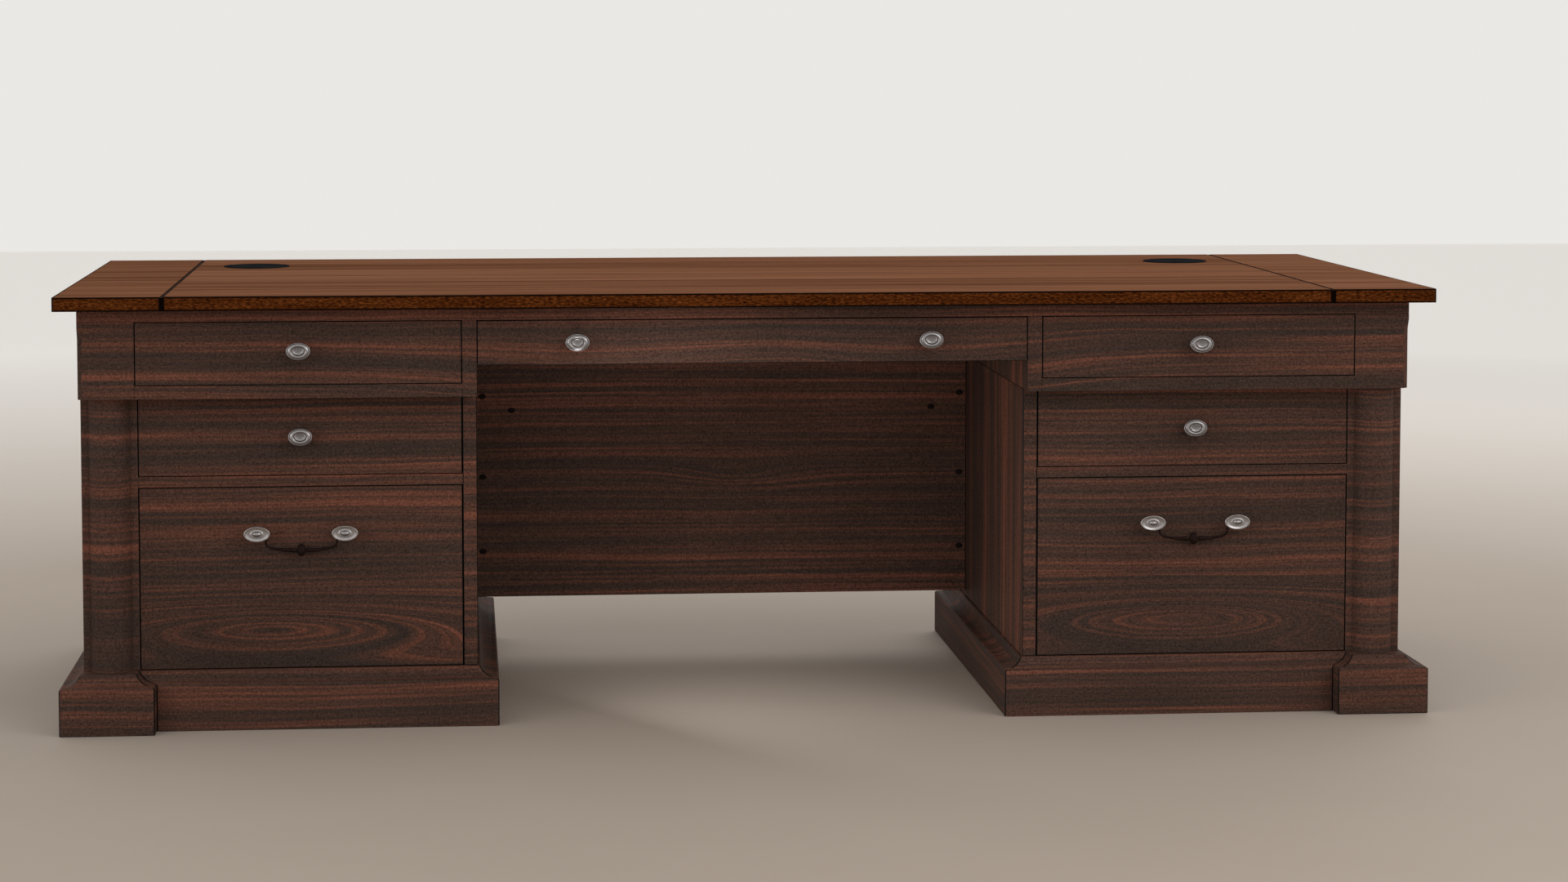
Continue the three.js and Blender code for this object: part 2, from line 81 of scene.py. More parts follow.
# ---- materials: a small graph writer -------------------------------------------------------------------
class Graph:
    """Adds nodes to one material. A value may be a number, a tuple or another node's socket."""

    def __init__(self, name):
        self.material = bpy.data.materials.new(name)
        self.material.use_nodes = True
        self.tree = self.material.node_tree
        self.tree.nodes.clear()
        self.coord = self.node("ShaderNodeTexCoord")
        self.object = self.coord.outputs["Object"]

    def node(self, kind, inputs=None, **settings):
        made = self.tree.nodes.new(kind)
        for key, value in settings.items():
            setattr(made, key, value)
        for key, value in (inputs or {}).items():
            self.put(made.inputs[key], value)
        return made

    def put(self, socket, value):
        if isinstance(value, bpy.types.NodeSocket):
            self.tree.links.new(value, socket)
        else:
            socket.default_value = value

    def math(self, operation, *values, clamp=False):
        made = self.node("ShaderNodeMath", operation=operation, use_clamp=clamp)
        for socket, value in zip(made.inputs, values):
            self.put(socket, value)
        return made.outputs[0]

    def split(self, vector):
        made = self.node("ShaderNodeSeparateXYZ", {"Vector": vector})
        return made.outputs[0], made.outputs[1], made.outputs[2]

    def join(self, x, y, z):
        return self.node("ShaderNodeCombineXYZ", {"X": x, "Y": y, "Z": z}).outputs[0]

    def mix(self, share, a, b):
        made = self.node("ShaderNodeMix", data_type="FLOAT")
        for socket, value in zip((made.inputs[0], made.inputs[2], made.inputs[3]), (share, a, b)):
            self.put(socket, value)
        return made.outputs[0]

    def blend(self, share, a, b, mode="MIX"):
        made = self.node("ShaderNodeMix", data_type="RGBA", blend_type=mode)
        for socket, value in zip((made.inputs[0], made.inputs[6], made.inputs[7]), (share, a, b)):
            self.put(socket, value)
        return made.outputs[2]

    def noise(self, vector, scale=1.0, detail=4.0, roughness=0.55, distortion=0.0):
        made = self.node("ShaderNodeTexNoise", {
            "Vector": vector, "Scale": scale, "Detail": detail,
            "Roughness": roughness, "Distortion": distortion,
        })
        return made.outputs[0]

    def ramp(self, value, stops):
        made = self.node("ShaderNodeValToRGB", {"Fac": value})
        elements = made.color_ramp.elements
        while len(elements) < len(stops):
            elements.new(0.5)
        for element, (position, color) in zip(elements, stops):
            element.position = position
            element.color = (*color, 1) if len(color) == 3 else color
        return made.outputs[0]

    def fit(self, value, low, high, to_low=0.0, to_high=1.0):
        made = self.node("ShaderNodeMapRange", {
            "Value": value, "From Min": low, "From Max": high, "To Min": to_low, "To Max": to_high,
        })
        return made.outputs[0]

    def bump(self, height, strength, distance, normal=None):
        inputs = {"Height": height, "Strength": strength, "Distance": distance}
        if normal is not None:
            inputs["Normal"] = normal
        return self.node("ShaderNodeBump", inputs).outputs[0]

    def finish(self, **sockets):
        shader = self.node("ShaderNodeBsdfPrincipled")
        for key, value in sockets.items():
            self.put(shader.inputs[key.replace("_", " ")], value)
        output = self.node("ShaderNodeOutputMaterial")
        self.tree.links.new(shader.outputs[0], output.inputs[0])
        return self.material


def grain_axes(g, side_grain):
    """(along, across, deep) for wood whose fronts run along X; faces towards X run along side_grain."""
    x, y, z = g.split(g.object)
    if side_grain is None:
        return x, z, y
    nx, _, _ = g.split(g.coord.outputs["Normal"])
    side = g.math("GREATER_THAN", g.math("ABSOLUTE", nx), 0.6)
    if side_grain == "z":
        return g.mix(side, x, z), g.mix(side, z, g.math("MULTIPLY", y, 0.4)), g.mix(side, y, x)
    return g.mix(side, x, y), z, g.mix(side, y, x)


DARK_STOPS = (
    (0.0, (0.0390, 0.0275, 0.0235)),
    (0.36, (0.0510, 0.0315, 0.0250)),
    (0.52, (0.0700, 0.0370, 0.0275)),
    (0.68, (0.1060, 0.0450, 0.0310)),
    (0.90, (0.1600, 0.0600, 0.0390)),
)


def swell(g, along, across, figure):
    """How far one figure pushes the grain lines: a smooth hump the lines close up into ovals on."""
    middle, height, half_length, half_height, push = figure
    run = g.math("DIVIDE", g.math("SUBTRACT", along, middle), half_length)
    rise = g.math("DIVIDE", g.math("SUBTRACT", across, height), half_height)
    far = g.math("ADD", g.math("MULTIPLY", run, run), g.math("MULTIPLY", rise, rise))
    return g.math("MULTIPLY", g.math("POWER", math.e, g.math("MULTIPLY", far, -1.0)), push)


def dark_wood(name, side_grain=None, figures=(), seed=0.0, gain=1.0, sway=0.03, lean=0.0, shine=0.008):
    """Rosewood veneer: straight near-black and red-brown bands, thin red lines and fine dark pores.

    A figure is (place along, place across, half length, half height, push), all in metres.
    """
    g = Graph(name)
    along, across, deep = grain_axes(g, side_grain)
    across = g.math("MULTIPLY_ADD", g.math("ABSOLUTE", deep), -lean, across)
    wave = g.noise(g.join(g.math("MULTIPLY", along, 1.1), g.math("MULTIPLY", across, 3.0),
                          g.math("MULTIPLY_ADD", deep, 1.4, seed)), detail=2.0)
    ripple = g.noise(g.join(g.math("MULTIPLY", along, 7.0), g.math("MULTIPLY", across, 26.0),
                            g.math("ADD", deep, seed)), detail=2.0)
    bent = g.math("MULTIPLY_ADD", wave, sway, g.math("MULTIPLY_ADD", ripple, 0.004, across))
    for figure in figures:
        bent = g.math("ADD", bent, swell(g, along, across, figure))
    bands = g.noise(g.join(g.math("MULTIPLY", along, 0.5), g.math("MULTIPLY", bent, 48.0),
                           g.math("MULTIPLY_ADD", deep, 1.6, seed)), detail=2.0, roughness=0.5)
    streaks = g.noise(g.join(g.math("MULTIPLY", along, 1.5), g.math("MULTIPLY", bent, 175.0),
                             g.math("MULTIPLY_ADD", deep, 3.0, seed + 3)), detail=4.0, roughness=0.62)
    tone = g.math("ADD", g.math("MULTIPLY", bands, 0.42), g.math("MULTIPLY", streaks, 0.58))
    tone = g.fit(tone, 0.32, 0.70)
    color = g.ramp(tone, DARK_STOPS)
    pores = g.noise(g.join(g.math("MULTIPLY", along, 60.0), g.math("MULTIPLY", across, 1500.0),
                           g.math("MULTIPLY", deep, 1500.0)), detail=2.0)
    pore = g.fit(pores, 0.30, 0.46)
    cloud = g.noise(g.object, scale=3.0, detail=2.0)
    speckle = g.noise(g.object, scale=250.0, detail=3.0, roughness=0.75)
    light = g.math("MULTIPLY", g.fit(pore, 0.0, 1.0, 0.72, 1.06), g.fit(cloud, 0.3, 0.7, 0.90, 1.10))
    light = g.math("MULTIPLY", light, g.fit(speckle, 0.3, 0.7, 0.50 * gain, 1.56 * gain))
    color = g.blend(1.0, color, g.join(light, light, light), mode="MULTIPLY")
    rough = g.math("ADD", g.fit(tone, 0.0, 1.0, 0.46, 0.56), g.fit(cloud, 0.3, 0.7, -0.04, 0.05))
    normal = g.bump(pore, 0.35, 0.00025)
    return g.finish(Base_Color=color, Roughness=rough, Normal=normal, Specular_IOR_Level=shine)


TOP_STOPS = (
    (0.0, (0.050, 0.0200, 0.0100)),
    (0.30, (0.115, 0.0475, 0.0245)),
    (0.55, (0.187, 0.0820, 0.0445)),
    (1.0, (0.285, 0.1320, 0.0760)),
)
EDGE_STOPS = (
    (0.0, (0.010, 0.0030, 0.0012)),
    (0.35, (0.042, 0.0105, 0.0024)),
    (0.65, (0.088, 0.0235, 0.0052)),
    (1.0, (0.160, 0.0500, 0.0120)),
)


def top_wood(name, boards):
    """Walnut along X on the flat; the edges are a darker golden lipping full of short flecks.

    Black glaze outlines every outer edge of the top and, on the lipping, the ends of the inlay strips.
    """
    g = Graph(name)
    x, y, z = g.split(g.object)
    to_end = g.math("SUBTRACT", TOP_END_X, g.math("ABSOLUTE", x))
    to_side = g.math("SUBTRACT", -FRONT_Y, g.math("ABSOLUTE", y))
    to_face = g.math("SUBTRACT", TOP_THICKNESS / 2,
                     g.math("ABSOLUTE", g.math("SUBTRACT", z, TOP_Z - TOP_THICKNESS / 2)))
    pair_low, pair_high = g.math("MINIMUM", to_end, to_side), g.math("MAXIMUM", to_end, to_side)
    to_edge = g.math("MAXIMUM", pair_low, g.math("MINIMUM", pair_high, to_face))
    to_inlay = g.math("ABSOLUTE", g.math("SUBTRACT", g.math("ABSOLUTE", x), INLAY_X))
    rub = g.noise(g.object, scale=60.0, detail=3.0)
    outline = g.fit(to_edge, OUTLINE, 0.6 * OUTLINE)
    nx, _, nz = g.split(g.coord.outputs["Normal"])
    # Each board gets a random tone. The two end panels get painted light instead: the left end is painted a
    # shade darker and the right end a shade lighter, as if lit from the right.
    if boards:
        index = g.math("FLOOR", g.math("DIVIDE", g.math("SUBTRACT", y, FRONT_Y), BOARD_WIDTH))
        board_tone_and_side_light = g.node("ShaderNodeTexWhiteNoise", {"W": index}, noise_dimensions="1D").outputs[0]
    else:
        board_tone_and_side_light = g.math("MULTIPLY_ADD", g.math("SIGN", x), 0.2, 0.5)
    shift = g.math("MULTIPLY", board_tone_and_side_light, 7.0)
    sway = g.noise(g.join(g.math("MULTIPLY_ADD", x, 0.9, shift), g.math("MULTIPLY", y, 3.5), shift),
                   detail=2.0)
    bent = g.math("MULTIPLY_ADD", sway, 0.05, y)
    bands = g.noise(g.join(g.math("MULTIPLY_ADD", x, 0.7, shift), g.math("MULTIPLY", bent, 55.0), shift),
                    detail=3.0, roughness=0.55)
    lines = g.noise(g.join(g.math("MULTIPLY_ADD", x, 2.5, shift), g.math("MULTIPLY", bent, 330.0), shift),
                    detail=3.0, roughness=0.6)
    tone = g.math("ADD", g.math("MULTIPLY", bands, 0.5), g.math("MULTIPLY", lines, 0.5))
    # The tone shift carries each board's random tone and, on the ends, the painted side light.
    tone = g.math("ADD", g.fit(tone, 0.30, 0.70), g.fit(board_tone_and_side_light, 0.0, 1.0, -0.10, 0.10))
    flat = g.ramp(tone, TOP_STOPS)
    pores = g.noise(g.join(g.math("MULTIPLY", x, 38.0), g.math("MULTIPLY", y, 1100.0), shift), detail=2.0)
    pore = g.fit(pores, 0.30, 0.44)

    side = g.math("GREATER_THAN", g.math("ABSOLUTE", nx), 0.6)
    run = g.mix(side, x, y)
    flecks = g.noise(g.join(g.math("MULTIPLY", run, 130.0), g.math("MULTIPLY", z, 420.0), 1.0), detail=3.0)
    patches = g.noise(g.join(g.math("MULTIPLY", run, 6.0), g.math("MULTIPLY", z, 70.0), 5.0), detail=3.0)
    edge_tone = g.math("ADD", g.math("MULTIPLY", flecks, 0.75), g.math("MULTIPLY", patches, 0.25))
    edge = g.ramp(g.fit(edge_tone, 0.34, 0.66), EDGE_STOPS)

    upright = g.math("LESS_THAN", g.math("ABSOLUTE", nz), 0.5)
    light = g.fit(pore, 0.0, 1.0, 0.74, 1.03)
    flat = g.blend(1.0, flat, g.join(light, light, light), mode="MULTIPLY")
    color = g.blend(upright, flat, edge)
    strip_end = g.math("MULTIPLY", upright, g.fit(to_inlay, 1.1 * INLAY_HALF, 0.9 * INLAY_HALF))
    glazed = g.math("MULTIPLY", g.math("MAXIMUM", outline, strip_end), g.fit(rub, 0.62, 0.8, 1.0, 0.6))
    color = g.blend(glazed, color, BLACK_GLAZE)
    smudge = g.noise(g.object, scale=5.0, detail=3.0)
    rough = g.math("ADD", g.fit(smudge, 0.3, 0.7, 0.50, 0.60), g.fit(tone, 0.0, 1.0, 0.05, -0.03))
    normal = g.bump(pore, 0.3, 0.0002)
    return g.finish(Base_Color=color, Roughness=rough, Normal=normal, Specular_IOR_Level=0.0)


def glaze(name, deep, worn, shine=0.1):
    """The near-black glaze that lies along every arris, rubbed thin here and there."""
    g = Graph(name)
    rub = g.noise(g.object, scale=28.0, detail=4.0, roughness=0.65)
    color = g.ramp(rub, ((0.0, deep), (0.58, deep), (0.78, worn)))
    rough = g.fit(rub, 0.3, 0.7, 0.5, 0.38)
    return g.finish(Base_Color=color, Roughness=rough, Specular_IOR_Level=shine)


def ebony(name):
    """The inlay strips: near-black with fine fibres, blacker still on their ends."""
    g = Graph(name)
    x, y, z = g.split(g.object)
    _, _, nz = g.split(g.coord.outputs["Normal"])
    fibres = g.noise(g.join(g.math("MULTIPLY", x, 900.0), g.math("MULTIPLY", y, 14.0),
                            g.math("MULTIPLY", z, 60.0)), detail=4.0)
    flat = g.ramp(fibres, ((0.3, (0.018, 0.013, 0.012)), (0.7, (0.055, 0.034, 0.030))))
    color = g.blend(g.math("LESS_THAN", nz, 0.5), flat, (0.004, 0.0025, 0.002, 1))
    rough = g.fit(fibres, 0.3, 0.7, 0.6, 0.5)
    return g.finish(Base_Color=color, Roughness=rough, Normal=g.bump(fibres, 0.2, 0.0002),
                    Specular_IOR_Level=0.0)


def maple(name):
    """Drawer sides and bottoms: pale, close-grained, clear sealed."""
    g = Graph(name)
    along, across, deep = grain_axes(g, "y")
    sway = g.noise(g.join(g.math("MULTIPLY", along, 2.0), g.math("MULTIPLY", across, 9.0), deep), detail=2.0)
    bent = g.math("MULTIPLY_ADD", sway, 0.03, across)
    lines = g.noise(g.join(g.math("MULTIPLY", along, 3.0), g.math("MULTIPLY", bent, 160.0), deep),
                    detail=4.0, roughness=0.6)
    tints = ((0.28, (0.235, 0.135, 0.066)), (0.5, (0.36, 0.225, 0.12)), (0.72, (0.44, 0.30, 0.17)))
    color = g.ramp(lines, tints)
    rough = g.fit(lines, 0.3, 0.7, 0.52, 0.44)
    return g.finish(Base_Color=color, Roughness=rough, Normal=g.bump(lines, 0.12, 0.0003))


def nickel(name, half_width, half_height, tint, grooves):
    """Satin nickel with dark patina in the oval grooves; the piece's origin is its middle."""
    g = Graph(name)
    x, _, z = g.split(g.object)
    round_x = g.math("DIVIDE", x, half_width)
    round_z = g.math("DIVIDE", z, half_height)
    radius = g.math("SQRT", g.math("ADD", g.math("MULTIPLY", round_x, round_x),
                                   g.math("MULTIPLY", round_z, round_z)))
    patina = g.noise(g.object, scale=260.0, detail=5.0, roughness=0.7)
    dark = 0.0
    for middle, width, weight in grooves:
        near = g.math("ABSOLUTE", g.math("SUBTRACT", radius, middle))
        dark = g.math("MAXIMUM", dark, g.fit(near, width, width * 0.2, 0.0, weight))
    dark = g.math("MULTIPLY", dark, g.fit(patina, 0.25, 0.6, 0.75, 1.0), clamp=True)
    low, high = (tuple(share * c for c in tint) for share in (0.8, 1.15))
    bare = g.ramp(patina, ((0.3, low), (0.55, tint), (0.8, high)))
    color = g.blend(dark, bare, (0.045, 0.038, 0.035, 1))
    scratches = g.noise(g.join(g.math("MULTIPLY", x, 500.0), 0.0, g.math("MULTIPLY", z, 2600.0)), detail=3.0)
    rough = g.math("ADD", g.fit(scratches, 0.3, 0.7, 0.26, 0.36), g.math("MULTIPLY", dark, 0.3))
    normal = g.bump(patina, 0.06, 0.0001)
    return g.finish(Base_Color=color, Metallic=1.0, Roughness=rough, Normal=normal)


def bronze(name):
    """Nearly black bronze with red-brown where it is rubbed."""
    g = Graph(name)
    patina = g.noise(g.object, scale=140.0, detail=5.0, roughness=0.65)
    tints = ((0.3, (0.008, 0.0045, 0.0038)), (0.6, (0.018, 0.0088, 0.0070)), (0.8, (0.05, 0.022, 0.016)))
    color = g.ramp(patina, tints)
    rough = g.fit(patina, 0.3, 0.7, 0.55, 0.42)
    return g.finish(Base_Color=color, Metallic=0.1, Roughness=rough, Normal=g.bump(patina, 0.2, 0.0002),
                    Specular_IOR_Level=0.06)


def black_plastic(name, color=(0.0095, 0.0105, 0.012)):
    """Moulded plastic with a fine grit, lighter in patches."""
    g = Graph(name)
    grit = g.noise(g.object, scale=900.0, detail=3.0)
    wear = g.noise(g.object, scale=14.0, detail=4.0)
    lifted = tuple(2.0 * c for c in color)
    tint = g.ramp(wear, ((0.35, color), (0.75, lifted)))
    rough = g.fit(wear, 0.3, 0.7, 0.5, 0.62)
    return g.finish(Base_Color=tint, Roughness=rough, Normal=g.bump(grit, 0.25, 0.00015),
                    Specular_IOR_Level=0.0)


# ---- geometry helpers ----------------------------------------------------------------------------------
def object_from(name, bm, materials, place):
    """A smooth-shaded mesh object with its origin at place, from a bmesh drawn around the origin."""
    bmesh.ops.recalc_face_normals(bm, faces=bm.faces)
    mesh = bpy.data.meshes.new(name)
    bm.to_mesh(mesh)
    bm.free()
    mesh.shade_smooth()
    made = bpy.data.objects.new(name, mesh)
    made.location = place
    for material in materials:
        mesh.materials.append(material)
    bpy.context.scene.collection.objects.link(made)
    return made


def arris(made, width, segments=2, material=0, angle=32.0):
    """Rounds every sharp edge; the new faces take the material slot given."""
    bevel = made.modifiers.new("arris", "BEVEL")
    bevel.width = width
    bevel.segments = segments
    bevel.limit_method = "ANGLE"
    bevel.angle_limit = math.radians(angle)
    bevel.harden_normals = True
    bevel.material = material
    bevel.miter_outer = "MITER_ARC"
    return made


ARRIS = 0.0013
FRONT_ARRIS = 0.0008
PLINTH_ARRIS = 0.0018
FRAMING_ARRIS = 0.0004
WELD_DISTANCE = 0.00001


def dress(node, materials, width=ARRIS):
    """Gives a CAD node its finish: welded, smooth, with a glazed arris on every sharp edge."""
    made = NODES[node]
    mesh = made.data
    if "custom_normal" in mesh.attributes:
        mesh.attributes.remove(mesh.attributes["custom_normal"])
    mesh.shade_smooth()
    mesh.materials.clear()
    for material in materials:
        mesh.materials.append(material)
    weld = made.modifiers.new("weld", "WELD")
    weld.merge_threshold = WELD_DISTANCE
    arris(made, width, material=len(materials) - 1)
    return made


def lathe(profile, steps=96, oval=None):
    """A bmesh turned about Y from (radius, distance out) pairs; oval(out) widens it along X."""
    bm = bmesh.new()
    rings = []
    for radius, out in profile:
        if radius == 0:
            rings.append([bm.verts.new((0, -out, 0))])
            continue
        wide = oval(out) if oval else 1.0
        ring = []
        for step in range(steps):
            a = 2 * math.pi * step / steps
            ring.append(bm.verts.new((radius * wide * math.cos(a), -out, radius * math.sin(a))))
        rings.append(ring)
    for low, high in zip(rings, rings[1:]):
        for step in range(steps):
            after = (step + 1) % steps
            quad = (low[step % len(low)], low[after % len(low)],
                    high[after % len(high)], high[step % len(high)])
            bm.faces.new(list(dict.fromkeys(quad)))
    return bm


def catmull_rom(p0, p1, p2, p3, t):
    """The point at t on the smooth span from p1 to p2."""
    straight = 2 * p1 + (p2 - p0) * t
    bend = (2 * p0 - 5 * p1 + 4 * p2 - p3) * t * t
    twist = (3 * p1 - p0 - 3 * p2 + p3) * t ** 3
    return 0.5 * (straight + bend + twist)


def curve_profile(points, per_span=6):
    """A smooth Catmull-Rom path through 2-D points; a doubled point makes a corner."""
    path = []
    for i in range(len(points) - 1):
        p1, p2 = Vector(points[i]), Vector(points[i + 1])
        if (p2 - p1).length < 1e-9:
            continue
        p0 = Vector(points[max(i - 1, 0)])
        p3 = Vector(points[min(i + 2, len(points) - 1)])
        for step in range(per_span):
            path.append(catmull_rom(p0, p1, p2, p3, step / per_span))
    path.append(Vector(points[-1]))
    return [(max(p.x, 0.0), p.y) for p in path]


def settle(made, body, slot, *replaced):
    """Says which body a piece rides on and which CAD nodes it stands for; slot, what it is made of, is not
    used.
    """
    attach(made, body)
    if replaced:
        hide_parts(*replaced)
    return made


# ---- finishes ------------------------------------------------------------------------------------------
DARK_GLAZE = glaze("dark_glaze", (0.0060, 0.0045, 0.0042), (0.030, 0.016, 0.012))
TOP_GLAZE = glaze("top_glaze", (0.0050, 0.0032, 0.0026), (0.050, 0.018, 0.008), shine=0.0)
FRONT_WOOD = dark_wood("rosewood_front", side_grain="z")
FILE_WOOD = {
    "left": dark_wood("rosewood_file_left", figures=((-0.84, 0.176, 0.30, 0.042, -0.120),), seed=2.0),
    "right": dark_wood("rosewood_file_right", figures=((0.765, 0.172, 0.30, 0.042, -0.120),), seed=2.0),
}
UPPER_WOOD = dark_wood("rosewood_upper", side_grain="z", seed=5.0,
                       figures=((-0.31, 0.60, 0.25, 0.08, 0.03), (0.31, 0.60, 0.25, 0.08, 0.03)))
COLUMN_WOOD = dark_wood("rosewood_column", shine=0.04)
PLINTH_WOOD = dark_wood("rosewood_plinth", side_grain="y", seed=9.0, lean=0.6)
PANEL_WOOD = dark_wood("rosewood_panel", figures=((0.03, 0.345, 0.12, 0.03, 0.022),), seed=14.0, sway=0.015,
                       gain=1.1)
CENTER_TOP = top_wood("walnut_boards", boards=True)
END_TOP = top_wood("walnut_end", boards=False)
INLAY = ebony("ebony_inlay")
BOX_WOOD = maple("maple_box")
BOX_EDGE = glaze("maple_edge", (0.20, 0.12, 0.06), (0.40, 0.26, 0.15))
PLASTIC = black_plastic("black_plastic")


def finish_for(node):
    """The wood of a CAD node and the glaze of its arrises."""
    if node == "top_center_panel":
        return CENTER_TOP, TOP_GLAZE
    if node.startswith("top_end"):
        return END_TOP, TOP_GLAZE
    if node.startswith("inlay"):
        return INLAY, INLAY
    if "drawer_box" in node:
        return BOX_WOOD, BOX_EDGE
    if node.startswith("plinth"):
        return PLINTH_WOOD, DARK_GLAZE
    if node.startswith("file_drawer_front"):
        return FILE_WOOD[node.rpartition("_")[2]], DARK_GLAZE
    if node.startswith("column"):
        return COLUMN_WOOD, DARK_GLAZE
    if node.startswith(("modesty_panel", "back_apron", "pedestal_back")):
        return PANEL_WOOD, DARK_GLAZE
    if node.startswith(("upper", "top_drawer", "center_drawer", "front_top_rail")):
        return UPPER_WOOD, DARK_GLAZE
    return FRONT_WOOD, DARK_GLAZE


# The upper frame shows hardly any joints, so it has a fine arris without glaze. The plinth has a wide one:
# its short cove facets would otherwise clamp the bevel to nothing.
REMADE = ("knob", "bail", "grommet")
FRAMING = ("front_top_rail", "upper_corner_post", "upper_side", "upper_floor", "pedestal_divider")
for name in NODES:
    if name.startswith(FRAMING):
        dress(name, finish_for(name)[:1], width=FRAMING_ARRIS)
    elif name.startswith("plinth"):
        dress(name, finish_for(name), width=PLINTH_ARRIS).modifiers["arris"].use_clamp_overlap = False
    elif "drawer_front" in name:
        dress(name, finish_for(name), width=FRONT_ARRIS)
    elif not any(word in name for word in REMADE):
        dress(name, finish_for(name))

# ---- knobs and bail posts ------------------------------------------------------------------------------
KNOB_HALF = (0.0210, 0.0150)
KNOB_PATH = (
    (0.0, 0.0), (0.0062, 0.0), (0.0062, 0.0), (0.0062, 0.0014), (0.0044, 0.0035), (0.0039, 0.0075),
    (0.0042, 0.0130), (0.0066, 0.0172), (0.0112, 0.0194), (0.0145, 0.0211), (0.0150, 0.0224),
    (0.0148, 0.0236), (0.0141, 0.0241), (0.0135, 0.0236), (0.0131, 0.0234), (0.0126, 0.0239),
    (0.0110, 0.0249), (0.0093, 0.0250), (0.0081, 0.0242), (0.0076, 0.0237), (0.0071, 0.0240),
    (0.0063, 0.0247), (0.0055, 0.0241), (0.0038, 0.0235), (0.0018, 0.0233), (0.0, 0.0233),
)
POST_HALF = (0.0230, 0.0134)
POST_PATH = (
    (0.0, 0.0), (0.0062, 0.0), (0.0062, 0.0), (0.0062, 0.0014), (0.0048, 0.0035), (0.0045, 0.0080),
    (0.0045, 0.0140), (0.0047, 0.0196), (0.0070, 0.0222), (0.0112, 0.0246), (0.0131, 0.0262),
    (0.0134, 0.0274), (0.0130, 0.0284), (0.0122, 0.0286), (0.0112, 0.0281), (0.0096, 0.0275),
    (0.0078, 0.0272), (0.0064, 0.0274), (0.0056, 0.0280), (0.0050, 0.0278), (0.0044, 0.0274),
    (0.0034, 0.0284), (0.0022, 0.0297), (0.0010, 0.0302), (0.0, 0.0302),
)
NECK = (0.014, 0.019)
KNOB_METAL = nickel("nickel_knob", *KNOB_HALF, (0.33, 0.315, 0.32),
                    grooves=((0.885, 0.05, 0.9), (0.51, 0.06, 0.9), (0.0, 0.42, 0.45)))
POST_METAL = nickel("nickel_post", *POST_HALF, (0.40, 0.38, 0.38),
                    grooves=((0.88, 0.03, 0.6), (0.62, 0.05, 0.5), (0.35, 0.06, 0.9)))


def ease(t):
    """0 to 1 with level ends; t outside that is cut off."""
    t = min(max(t, 0.0), 1.0)
    return t * t * (3 - 2 * t)


def widen(ratio, start, end):
    """The stretch along X at a distance out: round up to start, full from end on."""
    def oval(out):
        return 1 + (ratio - 1) * ease((out - start) / (end - start))
    return oval


def turned_piece(node, path, half, metal):
    """A knob or a post: a round foot and neck under an oval head."""
    middle = middle_of(node)
    place = (middle.x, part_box(node)[1].y, middle.z)
    bm = lathe(curve_profile(path), oval=widen(half[0] / half[1], *NECK))
    made = object_from(node + "_turned", bm, [metal], place)
    return settle(made, BODY_OF[node], "nickel", node)


for name in NODES:
    if "knob" in name:
        turned_piece(name, KNOB_PATH, KNOB_HALF, KNOB_METAL)
    elif "bail_post" in name:
        turned_piece(name, POST_PATH, POST_HALF, POST_METAL)

# ---- bail handles --------------------------------------------------------------------------------------
BAIL_METAL = bronze("bronze_bail")
POST_X = 0.07625
BAIL_DROP = 0.0305
BAIL_ARM = (
    (-POST_X - 0.0035, 0.0), (-POST_X + 0.008, 0.0), (-0.0633, -0.004), (-0.0620, -0.0125),
    (-0.0610, -0.0197), (-0.0565, -0.0248), (-0.0475, -0.0278), (-0.02425, -BAIL_DROP), (0.0, -BAIL_DROP),
)
MIDDLE_STEPS = 40
BEND_X = 0.064
ARM_X = 0.060
SWELL_X = 0.050
COLLAR_X = 0.010
BEAD_X = 0.0062
PIVOT_RADIUS = 0.00135
ARM_RADIUS = 0.00215
BALUSTER_RADIUS = 0.00405
COLLAR_RADIUS = 0.0027
BEAD_HALF = (0.0078, 0.0112)
BEAD_FLATNESS = 0.7


def wire_radius(x):
    """Thin at the pivots, swelling to a baluster each side of the middle bead."""
    far = abs(x)
    if far > SWELL_X:
        thicker = min(max((BEND_X - far) / (BEND_X - ARM_X), 0.0), 1.0)
        return PIVOT_RADIUS + (ARM_RADIUS - PIVOT_RADIUS) * thicker
    if far > COLLAR_X:
        return ARM_RADIUS + (BALUSTER_RADIUS - ARM_RADIUS) * ease((SWELL_X - far) / (SWELL_X - COLLAR_X))
    if far > BEAD_X:
        return COLLAR_RADIUS
    return BEAD_HALF[1] * math.sqrt(max(1 - (far / BEAD_HALF[0]) ** 2, 0.05))


def bail_arm(points, per_span=7):
    """The bail's half path; the straight middle is sampled finely for its bead."""
    path = []
    for i in range(len(points) - 2):
        p0, p1 = Vector(points[max(i - 1, 0)]), Vector(points[i])
        p2, p3 = Vector(points[i + 1]), Vector(points[i + 2])
        for step in range(per_span):
            p = catmull_rom(p0, p1, p2, p3, step / per_span)
            path.append((p.x, p.y))
    start = points[-2][0]
    for step in range(MIDDLE_STEPS + 1):
        path.append((start * (1 - step / MIDDLE_STEPS), points[-1][1]))
    return path


